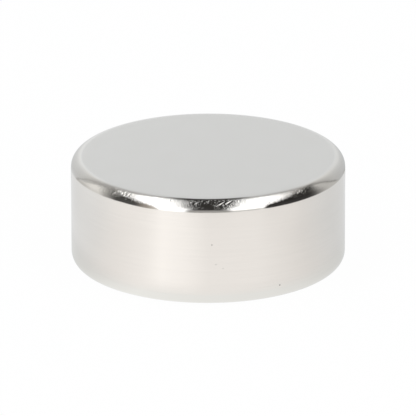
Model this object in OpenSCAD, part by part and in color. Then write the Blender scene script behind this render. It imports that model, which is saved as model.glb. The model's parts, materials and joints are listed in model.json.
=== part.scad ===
// Disc magnet: one pressed and sintered block with a bright nickel skin.
// It is a short cylinder with two flat pole faces and a true radius on both edges.
// Millimetres. The origin is the centre of the lower pole face, and +Z is the axis of the disc.

/* [Disc] */
// Diameter of the disc
magnet_d = 25; // [12:0.5:60]
// Height of the disc, from pole face to pole face
magnet_h = 10; // [6:0.5:20]

/* [Edges] */
// Radius that rounds the edge between each pole face and the side wall
edge_r = 1; // [0.2:0.1:1.5]

/* [Hidden] */

// Radius of the disc
magnet_r = magnet_d / 2;
// Radius of the flat part of a pole face, where the rounded edge begins
flat_r = magnet_r - edge_r;
// Facets in a full turn of the disc, and in a full circle of its edge
disc_facets = 240;
edge_facets = 96;
// Bright nickel, a little warmer than chrome
nickel = [0.83, 0.82, 0.79];

// Section of one rounded edge, with its centre at the height z
module edge_section(z) {
    translate([flat_r, z])
        circle(r = edge_r, $fn = edge_facets);
}

// Half section of the disc, from the axis out to the wall
module half_section() {
    // middle, from pole face to pole face
    square([flat_r, magnet_h]);

    // band behind the straight wall, between the two rounded edges
    translate([0, edge_r])
        square([magnet_r, magnet_h - 2 * edge_r]);

    // lower and upper edge, tangent to the pole face and to the wall
    edge_section(edge_r);
    edge_section(magnet_h - edge_r);
}

module magnet() {
    color(nickel)
        rotate_extrude($fn = disc_facets)
            half_section();
}

magnet();
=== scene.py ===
"""Looks of a nickel-plated disc magnet: its surface, the studio round it and the camera.

Lengths are in metres and angles in degrees. A turn is the angle round the disc, 0 towards the camera and 90
to its right. A tilt is the slope of the normal on the rounded edge, 0 at the wall and 90 at the flat.
"""

import json
import math
from collections import namedtuple

import bpy
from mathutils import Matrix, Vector, noise


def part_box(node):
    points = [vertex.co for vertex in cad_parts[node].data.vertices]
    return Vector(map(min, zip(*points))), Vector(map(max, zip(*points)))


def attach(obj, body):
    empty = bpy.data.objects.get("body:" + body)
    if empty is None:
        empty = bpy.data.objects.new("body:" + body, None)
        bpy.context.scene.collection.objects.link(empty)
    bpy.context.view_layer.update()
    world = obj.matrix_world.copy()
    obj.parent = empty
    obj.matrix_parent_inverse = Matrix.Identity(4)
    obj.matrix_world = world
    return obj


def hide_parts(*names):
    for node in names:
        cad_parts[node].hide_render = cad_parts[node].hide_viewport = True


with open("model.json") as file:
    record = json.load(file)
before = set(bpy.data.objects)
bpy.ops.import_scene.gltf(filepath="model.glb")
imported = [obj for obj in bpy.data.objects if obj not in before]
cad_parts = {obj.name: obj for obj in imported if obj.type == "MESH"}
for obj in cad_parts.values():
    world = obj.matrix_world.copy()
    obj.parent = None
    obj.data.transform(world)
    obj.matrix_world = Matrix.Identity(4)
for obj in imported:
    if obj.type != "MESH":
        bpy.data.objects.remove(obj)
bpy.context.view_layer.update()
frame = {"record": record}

MM = 0.001

# Sizes of the disc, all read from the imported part
HIGH_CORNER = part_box("magnet")[1]
DISC_RADIUS = HIGH_CORNER.x
DISC_HEIGHT = HIGH_CORNER.z
MOUNTS = {mount["name"]: mount for mount in frame["record"]["mounts"]}
WALL_HEIGHT = MOUNTS["side_wall"]["dims"]["length_mm"] * MM
EDGE_RADIUS = (DISC_HEIGHT - WALL_HEIGHT) / 2
FLAT_RADIUS = DISC_RADIUS - EDGE_RADIUS
WALL_TOP = DISC_HEIGHT - EDGE_RADIUS

# The camera, fitted to the outline in the photograph, whose frame is 416 pixels wide
FRAME_PIXELS = 416
CAMERA_ELEVATION = 19.83
CAMERA_ROLL = -0.11
CAMERA_DISTANCE = 60 * DISC_RADIUS
CAMERA_CLIPS = (0.01, 10)
PIXELS_PER_RADIUS = 136.9
CENTRE_RIGHT_PX = 0.15
CENTRE_UP_PX = 0.90
SENSOR_WIDTH = 36.0


def direction(azimuth, elevation):
    """Unit vector. Azimuth 0 points to the camera and 90 to its right."""
    a, e = math.radians(azimuth), math.radians(elevation)
    return Vector((math.sin(a) * math.cos(e), -math.cos(a) * math.cos(e), math.sin(e)))


CAMERA_PLACE = Vector((0, 0, DISC_HEIGHT / 2)) + direction(0, CAMERA_ELEVATION) * CAMERA_DISTANCE


def smooth(none_at, all_at, value):
    """0 at none_at, 1 at all_at and a soft ramp between them, whichever of the two is larger."""
    t = min(1.0, max(0.0, (value - none_at) / (all_at - none_at)))
    return t * t * (3 - 2 * t)


def under(distance, soft):
    """1 below 0 and 0 above it, with a soft border that reaches as far to both sides."""
    return smooth(soft, -soft, distance)


def along(points, value):
    """Reads a line given as (value, result) points, straight between them."""
    if value <= points[0][0]:
        return points[0][1]
    for (a, ra), (b, rb) in zip(points, points[1:]):
        if value <= b:
            return ra + (rb - ra) * (value - a) / (b - a)
    return points[-1][1]


def mixed(colour, other, share):
    return tuple(a + (b - a) * share for a, b in zip(colour, other))


def ring_faces(rows, columns):
    """Faces of a grid of points that closes round the axis."""
    faces = []
    for row in range(rows - 1):
        a, b = row * columns, (row + 1) * columns
        for k in range(columns):
            k2 = (k + 1) % columns
            faces.append((a + k, a + k2, b + k2, b + k))
    return faces


def new_piece(name, points, faces):
    mesh = bpy.data.meshes.new(name)
    mesh.from_pydata(points, [], faces)
    piece = bpy.data.objects.new(name, mesh)
    bpy.context.scene.collection.objects.link(piece)
    return piece


# Material nodes

# Sockets of the node that mixes two colours, whose names are shared with its other kinds
MIX_SHARE, MIX_COLOUR, MIX_OTHER, MIX_RESULT = 0, 6, 7, 2


def new_material(name):
    material = bpy.data.materials.new(name)
    material.use_nodes = True
    material.node_tree.nodes.clear()
    return material, material.node_tree


def put(tree, value, socket):
    """Links a value that is a socket, and sets a plain one."""
    if isinstance(value, bpy.types.NodeSocket):
        tree.links.new(value, socket)
    else:
        socket.default_value = value


def add(tree, kind, **values):
    """A node with its sockets or settings set by name."""
    node = tree.nodes.new(kind)
    for key, value in values.items():
        if key in node.inputs:
            put(tree, value, node.inputs[key])
        else:
            setattr(node, key, value)
    return node


def maths(tree, operation, *values):
    """One arithmetic node. Each value is a number or a socket."""
    node = add(tree, "ShaderNodeMath", operation=operation)
    for socket, value in zip(node.inputs, values):
        put(tree, value, socket)
    return node.outputs[0]


def ramp(tree, value, low, high, from_value=0.0, to_value=1.0):
    """Soft change from one value to another between low and high."""
    limits = {"From Min": low, "From Max": high, "To Min": from_value, "To Max": to_value}
    node = add(tree, "ShaderNodeMapRange", interpolation_type="SMOOTHSTEP", Value=value, **limits)
    return node.outputs["Result"]


def fade(tree, none_at, all_at, value):
    """smooth() as a node."""
    if none_at < all_at:
        return ramp(tree, value, none_at, all_at)
    return ramp(tree, value, all_at, none_at, 1.0, 0.0)


def mix_colours(tree, share, colour, other):
    node = add(tree, "ShaderNodeMix", data_type="RGBA")
    for value, socket in ((share, MIX_SHARE), (colour, MIX_COLOUR), (other, MIX_OTHER)):
        put(tree, value, node.inputs[socket])
    return node.outputs[MIX_RESULT]


def mix_shaders(tree, share, shader, other):
    node = add(tree, "ShaderNodeMixShader", Fac=share)
    tree.links.new(shader.outputs[0], node.inputs[1])
    tree.links.new(other.outputs[0], node.inputs[2])
    return node


# The magnet's mesh: a half section turned round the axis

WALL_ROWS = 10
UPPER_EDGE_ROWS = 44
LOWER_EDGE_ROWS = 12
ROLL_ROWS = 6
FLAT_ROWS = 6
# The rounded edge runs out on the wall as a narrow strip that leans in a little, as tumbling leaves it
LEAN_ROWS = 4
LEAN_HEIGHT = 0.065 * MM
LEAN_FROM_TILT, LEAN_TO_TILT = 2.4, 5.0
CREASE_WIDTH = 0.02 * MM
# The strip's lower border is a little ragged
RAGGED_LENGTH = 0.45 * MM
RAGGED_HEIGHT = 0.015 * MM
# The rounded edge meets the flat with a slight change of slope
FLAT_END_TILT = 88.2
# The flat falls a little just inside the rounded edge, as polishing leaves it
ROLL_WIDTH = 0.55 * MM
ROLL_DROP = 0.0085 * MM
# The rounded edge waves a little, less so close to the wall and to the flat
WAVE_LENGTH = 1.2 * MM
WAVE_HEIGHT = 0.0015 * MM
WAVE_FROM_WALL, WAVE_FROM_FLAT = (0, 15), (90, 80)

# Dents in the rounded edge: turn, tilt, length and width in mm, slant in degrees, depth in mm
DENTS = [
    (5.5, 41, 0.85, 0.125, 28, 0.028),
    (8.6, 46, 0.80, 0.125, 28, 0.022),
    (3.6, 41, 0.35, 0.12, 28, 0.012),
    (-5.6, 48, 0.40, 0.14, 25, 0.012),
    (-5.5, 44, 0.40, 0.20, 30, 0.008),
    (41.0, 43, 0.28, 0.12, 45, 0.016),
    (42.3, 50, 0.26, 0.12, 45, 0.016),
    (-44.3, 31, 0.26, 0.12, 55, 0.014),
    (-43.0, 40, 0.26, 0.12, 55, 0.018),
    (-41.8, 52, 0.22, 0.12, 50, 0.018),
    (-41.6, 37, 0.24, 0.12, 50, 0.014),
    (-40.4, 54, 0.22, 0.12, 45, 0.018),
    (-39.1, 46, 0.24, 0.12, 45, 0.020),
    (-37.9, 55, 0.22, 0.12, 50, 0.018),
    (-37.6, 40, 0.24, 0.12, 50, 0.018),
    (-36.0, 42, 0.24, 0.12, 45, 0.016),
    (-35.6, 51, 0.22, 0.12, 45, 0.016),
]
# Pits in the wall: turn, height in mm, radius in mm, depth in mm, share of painted shade on the pit's floor
PITS = [
    (1.5, 5.89, 0.085, 0.010, 0.45),
    (31.1, 1.37, 0.085, 0.018, 0.85),
    (3.15, 4.00, 0.060, 0.004, 0.45),
    (6.1, 3.60, 0.060, 0.004, 0.40),
]
# Columns of the mesh are closer together across the dents and pits, and rows across the pits
TURN_STEP = 0.6
FINE_TURN_STEP = 0.15
FINE_TURNS = [(-45.6, -34.8), (-7.2, -3.9), (0.9, 11.1), (30.3, 31.8), (39.6, 43.8)]
PIT_ROW_STEP = 0.035 * MM
# Heights that agree to so many decimals of a metre are one row
ROW_DECIMALS = 7


def turn_angles():
    """Turns of the mesh's columns."""
    angles = []
    angle = -180.0
    while angle < 180 - FINE_TURN_STEP / 2:
        angles.append(angle)
        fine = any(low <= angle < high for low, high in FINE_TURNS)
        angle += FINE_TURN_STEP if fine else TURN_STEP
    return angles


def wall_heights():
    """Heights of the rows on the straight wall."""
    step = WALL_HEIGHT / WALL_ROWS
    heights = {round(EDGE_RADIUS + step * i, ROW_DECIMALS) for i in range(1, WALL_ROWS)}
    for _, height, radius, _, _ in PITS:
        rows = round(radius * MM / PIT_ROW_STEP) + 1
        heights |= {round(height * MM + PIT_ROW_STEP * k, ROW_DECIMALS) for k in range(-rows, rows + 1)}
    return sorted(heights)


def upper_edge(edge_rows):
    """(radius, height, tilt) of each row from the end of the wall in towards the centre of the flat."""
    # the crease, and the leaning strip over it
    lean_top = math.radians(LEAN_TO_TILT)
    lean_step = (LEAN_HEIGHT + EDGE_RADIUS * math.sin(lean_top)) / LEAN_ROWS
    radius, height = DISC_RADIUS, WALL_TOP - LEAN_HEIGHT
    rows = [(radius, height - CREASE_WIDTH, 0)]
    for i in range(LEAN_ROWS):
        tilt = LEAN_FROM_TILT + (LEAN_TO_TILT - LEAN_FROM_TILT) * i / LEAN_ROWS
        rows.append((radius, height, tilt))
        radius -= lean_step * math.tan(math.radians(tilt))
        height += lean_step

    # the arc, a little lower than it is wide
    middle = radius - EDGE_RADIUS * math.cos(lean_top)
    arc_height = EDGE_RADIUS - ROLL_DROP
    for i in range(edge_rows + 1):
        tilt = LEAN_TO_TILT + (FLAT_END_TILT - LEAN_TO_TILT) * i / edge_rows
        t = math.radians(tilt)
        rows.append((middle + EDGE_RADIUS * math.cos(t), WALL_TOP + arc_height * math.sin(t), tilt))

    # the fall of the flat, and the flat itself
    for i in range(1, ROLL_ROWS + 1):
        inward = ROLL_WIDTH * i / ROLL_ROWS
        drop = ROLL_DROP * (1 - i / ROLL_ROWS) ** 2
        rows.append((FLAT_RADIUS - inward, DISC_HEIGHT - drop, 90))
    flat = FLAT_RADIUS - ROLL_WIDTH
    for i in range(1, FLAT_ROWS):
        rows.append((flat * (1 - i / FLAT_ROWS), DISC_HEIGHT, 90))
    return rows


def section():
    """All rows of the half section, from the lower flat out to the wall and in to the upper flat."""
    lower = [(r, DISC_HEIGHT - z, -tilt) for r, z, tilt in reversed(upper_edge(LOWER_EDGE_ROWS))]
    wall = [(DISC_RADIUS, z, 0) for z in wall_heights()]
    return lower + wall + upper_edge(UPPER_EDGE_ROWS)


def wave(turn, tilt):
    """How far the rounded edge lies under its true form."""
    t = math.radians(turn)
    slide = math.radians(tilt) * EDGE_RADIUS
    place = Vector((DISC_RADIUS * math.cos(t), DISC_RADIUS * math.sin(t), slide)) / WAVE_LENGTH
    on_edge = smooth(*WAVE_FROM_WALL, abs(tilt)) * smooth(*WAVE_FROM_FLAT, abs(tilt))
    return WAVE_HEIGHT * (1 + noise.noise(place)) / 2 * on_edge


def dents(turn, tilt):
    """Depth of all dents at a place on the rounded edge."""
    depth = 0.0
    for at_turn, at_tilt, length, width, slant, deep in DENTS:
        u = math.radians(turn - at_turn) * DISC_RADIUS / MM
        v = math.radians(tilt - at_tilt) * EDGE_RADIUS / MM
        if abs(u) > length or abs(v) > length:
            continue
        s = math.radians(slant)
        a = (u * math.cos(s) + v * math.sin(s)) / (length / 2)
        b = (v * math.cos(s) - u * math.sin(s)) / (width / 2)
        depth += deep * MM * math.exp(-a * a - b * b)
    return depth


def pits(turn, height):
    """Depth of all pits at a place on the wall."""
    depth = 0.0
    for at_turn, at_height, radius, deep, _ in PITS:
        u = math.radians(turn - at_turn) * DISC_RADIUS / MM
        v = height / MM - at_height
        depth += deep * MM * math.exp(-(u * u + v * v) / (radius * radius))
    return depth


def ragged(turn, height):
    """How far the lower border of the upper leaning strip is shifted up or down."""
    on_border = 1 - smooth(0, LEAN_HEIGHT, abs(height - (WALL_TOP - LEAN_HEIGHT)))
    t = math.radians(turn)
    place = Vector((math.cos(t), math.sin(t), 0)) * (DISC_RADIUS / RAGGED_LENGTH)
    return RAGGED_HEIGHT * noise.noise(place) * on_border


def surface_point(row, turn):
    """A point of the mesh, moved in along the normal by what is worn away there."""
    radius, height, tilt = row
    depth = 0.0
    if 0 < abs(tilt) < 90:
        depth = wave(turn, tilt) + dents(turn, tilt)
    elif tilt == 0:
        depth = pits(turn, height)
    t = math.radians(turn)
    worn_radius = radius - depth * math.cos(math.radians(tilt))
    worn_height = height - depth * math.sin(math.radians(tilt)) + ragged(turn, height)
    return worn_radius * math.sin(t), -worn_radius * math.cos(t), worn_height


def turned_mesh(name):
    """The whole disc as one closed mesh."""
    rows, turns = section(), turn_angles()
    columns = len(turns)
    points = [surface_point(row, turn) for row in rows for turn in turns]
    faces = ring_faces(len(rows), columns)

    # fans of triangles close both flats
    last = (len(rows) - 1) * columns
    bottom, top = len(points), len(points) + 1
    points += [(0, 0, 0), (0, 0, DISC_HEIGHT)]
    for k in range(columns):
        k2 = (k + 1) % columns
        faces.append((bottom, k2, k))
        faces.append((top, last + k, last + k2))
    piece = new_piece(name, points, faces)
    piece.data.polygons.foreach_set("use_smooth", [True] * len(faces))
    piece.data.update()
    return piece


# Nickel plating

NICKEL = (0.83, 0.80, 0.76, 1)
NICKEL_DULL = (0.823, 0.793, 0.752, 1)
NICKEL_STREAK = (0.817, 0.787, 0.747, 1)
# Painted shade for the floor of each pit
PIT_SHADE = (0.30, 0.29, 0.27, 1)
# Between which shares of its radius the painted shade on a pit's floor fades out
PIT_FLOOR, PIT_END = 0.4, 1.3
# The rounded edge is polished, the wall ground and the flat a little hazy
EDGE_ROUGHNESS = 0.05
WALL_ROUGHNESS = 0.115
FACE_ROUGHNESS = 0.22
# How wide these three blend into each other
BLEND = 0.10 * MM
# Duller patches, in colour and in roughness
PATCH_SIZE = 2.5 * MM
PATCH_DETAIL = 3.0
ROUGHNESS_MOTTLE = 0.02
# Levels of their noise between which patches and streaks fade in
PATCH_LEVELS = (0.3, 0.7)
# Grain of the rounded edge: size, height and detail of its features, and how far they twist on their way up
EDGE_GRAIN = 0.105 * MM
EDGE_GRAIN_HEIGHT = 0.0125 * MM
EDGE_GRAIN_DETAIL = 1.0
EDGE_GRAIN_TWIST = 0.8
# Scattered marks of tumbling on the rounded edge, longer than wide
MARK_SIZE = 0.11 * MM
MARK_HEIGHT = 0.006 * MM
MARK_DETAIL = 1.5
MARK_TWIST = -0.9
MARK_STRETCH = 1.4
MARK_LEVELS = (0.56, 0.78)
# Both fade in between two tilts from the wall, and from the flat
GRAIN_TILTS = ((7, 24), (80, 62))
# They are weaker towards both ends of the x axis, between these places
CALM_LEFT = (-10.6 * MM, -9.4 * MM)
CALM_RIGHT = (8.4 * MM, 9.3 * MM)
CALM_SHARE = 0.3
# Grain of the wall and fine grinding streaks, both long round the disc
WALL_GRAIN = 0.10 * MM
WALL_GRAIN_HEIGHT = 0.0020 * MM
WALL_GRAIN_DETAIL = 2.0
WALL_GRAIN_STRETCH = 14.0
STREAK = 0.20 * MM
STREAK_DETAIL = 1.0
STREAK_STRETCH = 40.0
# Roughness of the grain's noise, and the radius inside which it runs together towards the axis
GRAIN_ROUGHNESS = 0.55
GRAIN_CORE = DISC_RADIUS / 4

# Sockets that say where on the part a point of the surface is
Spot = namedtuple("Spot", "place x y from_axis from_middle")


def surface_spot(tree):
    place = add(tree, "ShaderNodeTexCoord").outputs["Object"]
    x, y, z = add(tree, "ShaderNodeSeparateXYZ", Vector=place).outputs
    squares = maths(tree, "ADD", maths(tree, "MULTIPLY", x, x), maths(tree, "MULTIPLY", y, y))
    from_middle = maths(tree, "SUBTRACT", z, DISC_HEIGHT / 2)
    return Spot(place, x, y, maths(tree, "SQRT", squares), from_middle)


def grain(tree, spot, slide, size, detail, scale, twist=0.0):
    """Noise on the turned surface, twisted into slanted lines. slide is the way along the section."""
    core = maths(tree, "MAXIMUM", spot.from_axis, GRAIN_CORE)
    outward = maths(tree, "DIVIDE", DISC_RADIUS, core)
    x, y = (maths(tree, "MULTIPLY", part, outward) for part in (spot.x, spot.y))
    laid = add(tree, "ShaderNodeCombineXYZ", X=x, Y=y, Z=slide).outputs[0]
    angle = maths(tree, "MULTIPLY", slide, twist / DISC_RADIUS)
    turned = add(tree, "ShaderNodeVectorRotate", rotation_type="Z_AXIS", Vector=laid, Angle=angle).outputs[0]
    spread = add(tree, "ShaderNodeMapping", Vector=turned, Scale=scale).outputs[0]
    features = add(tree, "ShaderNodeTexNoise", Vector=spread, Scale=1 / size, Detail=detail,
                   Roughness=GRAIN_ROUGHNESS)
    return features.outputs["Fac"]


def long_round(stretch):
    """Scale of a grain whose features are long round the disc."""
    return (1 / stretch, 1 / stretch, 1)


def edge_relief(tree, spot, up):
    """Height of the grain and marks on both rounded edges. up is the way up or down from the middle."""
    high = maths(tree, "SUBTRACT", up, WALL_HEIGHT / 2)
    wide = maths(tree, "SUBTRACT", spot.from_axis, FLAT_RADIUS)
    tilt = maths(tree, "ARCTAN2", high, wide)
    slide = maths(tree, "MULTIPLY", tilt, EDGE_RADIUS)
    fine = grain(tree, spot, slide, EDGE_GRAIN, EDGE_GRAIN_DETAIL, (1, 1, 1), EDGE_GRAIN_TWIST)
    marks = grain(tree, spot, slide, MARK_SIZE, MARK_DETAIL, (1, 1, 1 / MARK_STRETCH), MARK_TWIST)
    mark_height = ramp(tree, marks, *MARK_LEVELS, 0.0, MARK_HEIGHT)
    height = maths(tree, "MULTIPLY_ADD", fine, EDGE_GRAIN_HEIGHT, mark_height)
    for none_at, all_at in GRAIN_TILTS:
        share = fade(tree, math.radians(none_at), math.radians(all_at), tilt)
        height = maths(tree, "MULTIPLY", height, share)
    calm_left = ramp(tree, spot.x, *CALM_LEFT, CALM_SHARE, 1.0)
    calm_right = ramp(tree, spot.x, *CALM_RIGHT, 1.0, CALM_SHARE)
    return maths(tree, "MULTIPLY", height, maths(tree, "MULTIPLY", calm_left, calm_right))


def wall_relief(tree, spot, on_wall):
    """Height of the wall's grain."""
    scale = long_round(WALL_GRAIN_STRETCH)
    fine = grain(tree, spot, spot.from_middle, WALL_GRAIN, WALL_GRAIN_DETAIL, scale)
    return maths(tree, "MULTIPLY", maths(tree, "MULTIPLY", fine, WALL_GRAIN_HEIGHT), on_wall)


def pit_shadow(tree, spot, turn, height, radius, darkness):
    """Share of painted shade on the floor of a pit."""
    centre = direction(turn, 0) * DISC_RADIUS + Vector((0, 0, height * MM))
    away = add(tree, "ShaderNodeVectorMath", operation="DISTANCE")
    put(tree, spot.place, away.inputs[0])
    put(tree, centre, away.inputs[1])
    return ramp(tree, away.outputs["Value"], radius * MM * PIT_FLOOR, radius * MM * PIT_END, darkness, 0.0)


def plating_colour(tree, spot, on_wall, patches):
    """Nickel with duller patches, with grinding streaks on the wall and with painted shade on the floor of
    each pit.
    """
    colour = mix_colours(tree, ramp(tree, patches, *PATCH_LEVELS), NICKEL, NICKEL_DULL)
    streaks = grain(tree, spot, spot.from_middle, STREAK, STREAK_DETAIL, long_round(STREAK_STRETCH))
    share = maths(tree, "MULTIPLY", ramp(tree, streaks, *PATCH_LEVELS), on_wall)
    colour = mix_colours(tree, share, colour, NICKEL_STREAK)
    for turn, height, radius, _, darkness in PITS:
        shadow = pit_shadow(tree, spot, turn, height, radius, darkness)
        colour = mix_colours(tree, shadow, colour, PIT_SHADE)
    return colour


def plating_roughness(tree, on_wall, on_face, patches):
    rough = maths(tree, "MULTIPLY_ADD", on_wall, WALL_ROUGHNESS - EDGE_ROUGHNESS, EDGE_ROUGHNESS)
    rough = maths(tree, "MULTIPLY_ADD", on_face, FACE_ROUGHNESS - EDGE_ROUGHNESS, rough)
    return maths(tree, "MULTIPLY_ADD", patches, ROUGHNESS_MOTTLE, rough)


def nickel_plating():
    material, tree = new_material("nickel_plating")
    spot = surface_spot(tree)
    up = maths(tree, "ABSOLUTE", spot.from_middle)
    on_wall = fade(tree, WALL_HEIGHT / 2 + BLEND, WALL_HEIGHT / 2 - BLEND / 2, up)
    on_face = fade(tree, FLAT_RADIUS + BLEND, FLAT_RADIUS - BLEND, spot.from_axis)
    relief = maths(tree, "ADD", edge_relief(tree, spot, up), wall_relief(tree, spot, on_wall))
    bump = add(tree, "ShaderNodeBump", Height=relief, Strength=1.0, Distance=1.0)
    patches = add(tree, "ShaderNodeTexNoise", Vector=spot.place, Scale=1 / PATCH_SIZE, Detail=PATCH_DETAIL)
    patches = patches.outputs["Fac"]
    shader = add(tree, "ShaderNodeBsdfPrincipled", Metallic=1.0, Normal=bump.outputs[0],
                 Roughness=plating_roughness(tree, on_wall, on_face, patches))
    put(tree, plating_colour(tree, spot, on_wall, patches), shader.inputs["Base Color"])
    add(tree, "ShaderNodeOutputMaterial", Surface=shader.outputs[0])
    return material


# The studio

# What the metal mirrors is set out by the turn and tilt at which the upper rounded edge mirrors it for the
# camera. A pair such as (62, 56) says where a thing fades in: none of it at the first value and all of it at
# the second.

COOL = (0.965, 1.0, 1.03)
NEUTRAL = (1.0, 1.0, 0.98)
BROWN = (0.34, 0.31, 0.28)
PALE_BROWN = (0.60, 0.57, 0.53)

# The tent's cloth: its brightness towards the front by tilt, and how much lighter and cooler its sides are.
# Behind the disc its left changes into its right.
TENT_RADIUS = 0.9
TENT_ROWS = 121
TENT_COLUMNS = 4 * (TENT_ROWS - 1)
BACK_WIDTH = 0.03
FRONT_LEVELS = [(0, 0.40), (62, 0.40), (70, 0.41), (75, 0.55), (80, 0.645), (85, 0.71), (90, 0.795)]
FRONT_SOFT = 11
SIDE_GAIN = 0.04
SIDE_GAIN_TURNS, SIDE_GAIN_TILTS = (70, 82), (88, 84)
SIDE_COOL = 0.75
SIDE_COOL_TURNS, COOL_TILTS = (50, 80), (60, 88)

# Both sides, with turns counted outwards from the camera. The levels are the cloth's brightness by tilt. The
# front's end, both ends of the box, the card's end and the line are (tilt, turn) points, the card's top is
# (turn, tilt) points, and the softness of the card's end is by tilt.
LEFT = {
    "levels": [(0, 0.74), (14, 0.64), (30, 0.63), (45, 0.66), (60, 0.70), (72, 0.785), (80, 0.855),
               (86, 0.85), (90, 0.795)],
    "front_end": [(50, 60), (65, 57), (80, 50)],
    "box": (1.68, 1.72, 1.77),
    "box_inner": [(0, 7.8), (12, 8.2), (25, 11), (45, 11.5), (55, 12.7), (62, 14.5), (70, 16.5), (80, 16)],
    "box_outer": [(0, 24), (15, 25), (30, 31), (40, 34), (50, 34.4), (60, 33), (75, 33)],
    "frame_turns": (44.5, 42),
    "card": (0.068, 0.067, 0.065),
    "card_browns": [(BROWN, (32, 27)), (PALE_BROWN, (27, 23))],
    "card_top": [(20.5, 1), (24, 12), (28, 19), (31, 27), (36, 39), (40, 51), (43, 57), (45, 61), (48, 63)],
    "card_end": [(10, 45), (35, 45.5), (50, 46.3), (58, 46.8)],
    "card_end_soft": [(0, 3.5)],
    "line": [(0, 74), (10, 71.5), (18, 70), (29, 66.5), (42, 63.5), (52, 59), (60, 55.5), (73, 50)],
    "line_width": 1.8,
    "line_grey": 0.33,
    "line_share": 0.7,
    "line_tilts": [(74, 66), (2, 8)],
    "patches": [],
}
RIGHT = {
    "levels": [(0, 0.53), (20, 0.55), (45, 0.60), (60, 0.66), (72, 0.76), (80, 0.785), (86, 0.775),
               (90, 0.795)],
    "front_end": [(50, 60), (65, 54), (80, 43)],
    "box": (1.63, 1.67, 1.71),
    "box_inner": [(0, 7.9), (12, 8.4), (25, 11.2), (40, 12.4), (55, 13.5), (62, 15), (70, 16.5), (80, 16)],
    "box_outer": [(0, 24), (15, 25), (30, 31), (40, 33.6), (50, 34.2), (60, 32.4), (75, 32.4)],
    "frame_turns": (43, 40),
    "card": (0.028, 0.027, 0.026),
    "card_browns": [],
    "card_top": [(23.3, 1), (25.2, 12), (27, 16.5), (30, 23), (34, 33), (38, 41), (40, 47), (42, 54),
                 (45, 60), (49, 65)],
    "card_end": [(10, 54), (30, 51.5), (50, 50)],
    "card_end_soft": [(10, 8), (25, 6), (35, 5), (45, 1.5), (50, 1)],
    "line": [(3, 72), (8, 69.5), (12, 68), (19, 66), (25, 64), (33, 61.5), (40, 60), (45, 58), (50, 56),
             (60, 52.5)],
    "line_width": 1.7,
    "line_grey": 0.18,
    "line_share": 1.0,
    "line_tilts": [(75, 60), (0, 20)],
    # pale patches low down, as grey, turns and tilts
    "patches": [(0.66, (24, 22), (7, 4)), (0.48, (76, 80), (16, 8))],
}

# The pale boards beside the cards, the left one with its top as (turn, tilt) points
LEFT_BOARD_TOP = [(50, 51), (56, 42), (60, 33), (64, 23), (68, 17), (72, 10), (76, 2)]
LEFT_BOARD_TURNS = (47.5, 53)
LEFT_BOARD_LEVELS = [(53, 0.88), (58, 0.86), (64, 0.72), (72, 0.68)]
LEFT_BOARD_SHADE = 0.12
LEFT_BOARD_SHADE_TILTS = (22, 8)
RIGHT_BOARD_TURNS = (50, 54)
RIGHT_BOARD_TILTS = (60, 50)
RIGHT_BOARD_SOFT = 1
RIGHT_BOARD_GREY = 0.55

# What both sides share: frames and tops of the light boxes, tops of the cards and boards, and the dark gap
# between the boxes, where the camera stands
BOX_FRAME = (0.62, 0.61, 0.59)
BOX_FRAME_TILTS = (62, 56)
BOX_TOP = [(14, 72), (20, 69.5), (28, 65), (32, 61), (34, 57), (37, 51)]
BOX_OUTER_SOFT = 1.5
BOX_OVER_CARD = (-2, 4)
CARD_TOP_SOFT = 3
TOP_SOFT = 4
GAP = (0.039, 0.038, 0.037)
GAP_TILTS = (86, 75)
GAP_SOFT = 3

# Painted light on the table by turn: pools from the two light boxes and painted shade behind the disc. Then
# the tilts at which it fades into what stands behind it, shifted by turn
PAINTED_POOLS = [(-90, 0.80), (-70, 0.82), (-62, 0.85), (-50, 0.865), (-34, 0.96), (-26, 1.03), (-19, 1.15),
        (-9, 1.08), (0, 0.975), (20, 0.97), (30, 0.91), (42, 0.82), (60, 0.76), (76, 0.76), (83, 0.80),
        (90, 0.86)]
TABLE_TINT = (1.013, 1.0, 0.993)
TABLE_TILTS = (1.0, 2.4)
TABLE_SHIFT = [(-60, 2.5), (-44, 2.5), (-36, 2), (-28, 1), (-20, 0), (20, 0), (28, 1), (60, 1)]
TABLE_COOL = 0.6
TABLE_COOL_TURNS = (35, 60)
# The table's painted light is brighter further out at both sides
FAR_GAIN = 0.05
FAR_PLACES = (26 * MM, 36 * MM)
FAR_TURNS = (25, 40)
# Close to the disc its painted light goes by the angle round the axis, darker to both sides, and fades into
# the rest between two distances
NEAR_LEVELS = [(-90, 0.78), (-75, 0.81), (-60, 0.87), (-47, 0.95), (-34, 1.01), (-15, 0.98), (0, 0.955),
               (30, 0.93), (50, 0.87), (65, 0.81), (90, 0.74)]
NEAR_PLACES = (15 * MM, 19 * MM)
NEAR_TINT = (0.978, 1.0, 1.002)
NEAR_TINT_PLACES = (14 * MM, 17 * MM)
# A darker grey far out in front, below the gap
FRONT_FAR_GREY = 0.38
FRONT_FAR_TURNS = (10.5, 7.5)
FRONT_FAR_TILTS = (12, 6)

# Steps in which the mirroring place on the edge is found
MIRROR_STEPS = 4


def where_mirrored(point):
    """Turn and tilt at which the upper rounded edge mirrors a point of the studio for the camera."""
    turn = None
    rim = Vector((0, 0, DISC_HEIGHT))
    for _ in range(MIRROR_STEPS):
        half = ((point - rim).normalized() + (CAMERA_PLACE - rim).normalized()).normalized()
        last, turn = turn, math.degrees(math.atan2(half.x, -half.y))
        if last is not None and abs(math.remainder(turn - last, 360)) > 90:
            # no place on the edge mirrors it, so the flat does
            return turn, 90.0
        rim = direction(turn, 0) * FLAT_RADIUS + Vector((0, 0, WALL_TOP)) + half * EDGE_RADIUS
    return turn, math.degrees(math.asin(half.z))


def shade(level, tint):
    return tuple(level * part for part in tint)


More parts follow.
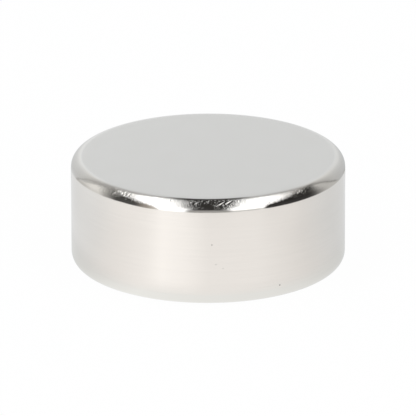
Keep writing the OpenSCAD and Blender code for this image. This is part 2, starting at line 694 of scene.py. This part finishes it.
def backdrop(turn, tilt, x):
    """The tent's cloth."""
    out = abs(turn)
    front_end = along((LEFT if turn < 0 else RIGHT)["front_end"], tilt)
    front = under(out - front_end, FRONT_SOFT)
    left = under(x, BACK_WIDTH)
    side = along(LEFT["levels"], tilt) * left + along(RIGHT["levels"], tilt) * (1 - left)
    side *= 1 + SIDE_GAIN * smooth(*SIDE_GAIN_TURNS, out) * smooth(*SIDE_GAIN_TILTS, tilt)
    level = side + (along(FRONT_LEVELS, tilt) - side) * front
    cool = max(smooth(*COOL_TILTS, tilt), SIDE_COOL * smooth(*SIDE_COOL_TURNS, out))
    return shade(level, mixed(NEUTRAL, COOL, cool))


def left_board(out, tilt):
    """Share and brightness of the left board, which is darker low down."""
    share = under(tilt - along(LEFT_BOARD_TOP, out), TOP_SOFT) * smooth(*LEFT_BOARD_TURNS, out)
    level = along(LEFT_BOARD_LEVELS, out) - LEFT_BOARD_SHADE * smooth(*LEFT_BOARD_SHADE_TILTS, tilt)
    return share, level


def right_board(out, tilt):
    """Share and brightness of the right board, which ends at its dark line."""
    before_line = under(out - along(RIGHT["line"], tilt), RIGHT_BOARD_SOFT)
    share = smooth(*RIGHT_BOARD_TURNS, out) * before_line * smooth(*RIGHT_BOARD_TILTS, tilt)
    return share, RIGHT_BOARD_GREY


def add_line(colour, side, out, tilt):
    """The thin dark line at the board's far border."""
    share = side["line_share"] * smooth(side["line_width"], 0, abs(out - along(side["line"], tilt)))
    for tilts in side["line_tilts"]:
        share *= smooth(*tilts, tilt)
    return mixed(colour, shade(side["line_grey"], NEUTRAL), share)


def add_card(colour, side, out, tilt, over_card):
    """The dark card before the light box, which may turn brown towards its inner end."""
    end, soft = along(side["card_end"], tilt), along(side["card_end_soft"], tilt)
    share = under(over_card, CARD_TOP_SOFT) * under(out - end, soft)
    card = side["card"]
    for brown, turns in side["card_browns"]:
        card = mixed(card, brown, smooth(*turns, out))
    return mixed(colour, card, share)


def add_box(colour, side, out, tilt, over_card):
    """The light box over the card."""
    within = under(out - along(side["box_outer"], tilt), BOX_OUTER_SOFT)
    below_top = under(tilt - along(BOX_TOP, out), TOP_SOFT)
    return mixed(colour, side["box"], within * below_top * smooth(*BOX_OVER_CARD, over_card))


def add_side(colour, side, out, tilt):
    """All that stands at one side of the camera, from the far things to the near ones."""
    board, level = left_board(out, tilt) if side is LEFT else right_board(out, tilt)
    colour = mixed(colour, shade(level, NEUTRAL), board)
    colour = add_line(colour, side, out, tilt)
    colour = mixed(colour, BOX_FRAME, smooth(*side["frame_turns"], out) * smooth(*BOX_FRAME_TILTS, tilt))
    over_card = tilt - along(side["card_top"], out)
    colour = add_card(colour, side, out, tilt, over_card)
    colour = add_box(colour, side, out, tilt, over_card)
    for grey, turns, tilts in side["patches"]:
        colour = mixed(colour, shade(grey, NEUTRAL), smooth(*turns, out) * smooth(*tilts, tilt))
    gap = under(out - along(side["box_inner"], tilt), GAP_SOFT) * smooth(*GAP_TILTS, tilt)
    return mixed(colour, GAP, gap)


def painted_table_light(point, turn):
    """The table's painted light at a point that the rounded edge mirrors at a turn."""
    away, out = math.hypot(point.x, point.y), abs(turn)
    far = FAR_GAIN * smooth(*FAR_PLACES, away) * smooth(*FAR_TURNS, out)
    level = along(PAINTED_POOLS, turn) * (1 + far)
    tint = mixed(TABLE_TINT, COOL, TABLE_COOL * smooth(*TABLE_COOL_TURNS, out))
    if point.z == 0:
        near = along(NEAR_LEVELS, math.degrees(math.atan2(point.x, -point.y)))
        level = near + (level - near) * smooth(*NEAR_PLACES, away)
        tint = mixed(NEAR_TINT, tint, smooth(*NEAR_TINT_PLACES, away))
    return shade(level, tint)


def studio_colour(point):
    """Colour of the studio at a point, as the rounded edge mirrors it."""
    turn, tilt = where_mirrored(point)
    colour = backdrop(turn, tilt, point.x)
    if abs(turn) < 90:
        colour = add_side(colour, LEFT if turn < 0 else RIGHT, abs(turn), tilt)
        front_far = smooth(*FRONT_FAR_TURNS, abs(turn)) * smooth(*FRONT_FAR_TILTS, tilt)
        colour = mixed(colour, shade(FRONT_FAR_GREY, NEUTRAL), front_far)
    over_table = smooth(*TABLE_TILTS, tilt - along(TABLE_SHIFT, turn))
    return mixed(painted_table_light(point, turn), colour, over_table)


def glow_mesh(name, rows, columns, place):
    """A grid round the axis whose points hold the studio's colour: place(row, column) gives each point."""
    points = [place(row, column) for row in range(rows) for column in range(columns)]
    colours = [part for point in points for part in (*studio_colour(point), 1.0)]
    piece = new_piece(name, points, ring_faces(rows, columns))
    piece.data.color_attributes.new("glow", "FLOAT_COLOR", "POINT").data.foreach_set("color", colours)
    return piece


def mesh_glow(tree):
    """Light in the colour that a glow mesh holds."""
    held = add(tree, "ShaderNodeVertexColor", layer_name="glow")
    return add(tree, "ShaderNodeEmission", Color=held.outputs["Color"])


def tent():
    """A dome of glowing cloth, whose colour changes over it."""
    step = 90 / (TENT_ROWS - 1)
    piece = glow_mesh("tent", TENT_ROWS, TENT_COLUMNS,
                      lambda row, column: direction(column * step, row * step) * TENT_RADIUS)
    piece.visible_camera = False
    material, tree = new_material("tent_cloth")
    add(tree, "ShaderNodeOutputMaterial", Surface=mesh_glow(tree).outputs[0])
    piece.data.materials.append(material)


# The floor has light of its own: the share of it in what the camera sees, its strength there, and its share
# in what the metal mirrors
SEEN_GLOW = 0.96
SEEN_WHITE = 1.01
MIRRORED_GLOW = 0.98
FLOOR_PAINT = (0.95, 0.95, 0.95, 1)
WHITE = (1, 1, 1, 1)
# Its mesh is a centre and rings, each wider than the last by the same factor
FLOOR_INNER = 0.002
FLOOR_RINGS = 120
FLOOR_COLUMNS = 180


def floor_point(row, column):
    if row == 0:
        return Vector((0, 0, 0))
    growth = TENT_RADIUS / FLOOR_INNER
    radius = FLOOR_INNER * growth ** ((row - 1) / (FLOOR_RINGS - 2))
    return direction(column * 360 / FLOOR_COLUMNS, 0) * radius


def white_floor():
    """A white floor that keeps the shadow. A share of its white is its own. What the metal mirrors of it is
    mostly its glow, which holds painted light.
    """
    floor = glow_mesh("floor", FLOOR_RINGS, FLOOR_COLUMNS, floor_point)
    material, tree = new_material("floor_white")
    paint = add(tree, "ShaderNodeBsdfDiffuse", Color=FLOOR_PAINT)
    white = add(tree, "ShaderNodeEmission", Color=WHITE, Strength=SEEN_WHITE)
    path = add(tree, "ShaderNodeLightPath")
    to_metal = maths(tree, "MAXIMUM", path.outputs["Is Glossy Ray"], path.outputs["Is Transmission Ray"])
    for_metal = mix_shaders(tree, maths(tree, "MULTIPLY", to_metal, MIRRORED_GLOW), paint, mesh_glow(tree))
    to_camera = maths(tree, "MULTIPLY", path.outputs["Is Camera Ray"], SEEN_GLOW)
    for_camera = mix_shaders(tree, to_camera, for_metal, white)
    add(tree, "ShaderNodeOutputMaterial", Surface=for_camera.outputs[0])
    floor.data.materials.append(material)


def white_world():
    world = bpy.data.worlds.new("studio")
    bpy.context.scene.world = world
    world.use_nodes = True
    background = world.node_tree.nodes["Background"]
    background.inputs["Color"].default_value = WHITE
    background.inputs["Strength"].default_value = 1.0


def camera():
    data = bpy.data.cameras.new("camera")
    piece = bpy.data.objects.new("camera", data)
    bpy.context.scene.collection.objects.link(piece)
    pixels_per_metre = PIXELS_PER_RADIUS / DISC_RADIUS
    data.sensor_width = SENSOR_WIDTH
    data.lens = pixels_per_metre * CAMERA_DISTANCE * SENSOR_WIDTH / FRAME_PIXELS
    data.clip_start, data.clip_end = CAMERA_CLIPS
    up = direction(180, 90 - CAMERA_ELEVATION)
    right = Vector((1, 0, 0))
    piece.location = CAMERA_PLACE - (right * CENTRE_RIGHT_PX + up * CENTRE_UP_PX) / pixels_per_metre
    piece.rotation_euler = (math.radians(90 - CAMERA_ELEVATION), 0, 0)
    piece.rotation_euler.rotate_axis("Z", math.radians(CAMERA_ROLL))
    bpy.context.scene.camera = piece


magnet = turned_mesh("magnet_disc")
magnet.data.materials.append(nickel_plating())
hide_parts("magnet")
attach(magnet, "root")

tent()
white_floor()
white_world()
camera()
bpy.context.scene.view_settings.view_transform = "Standard"
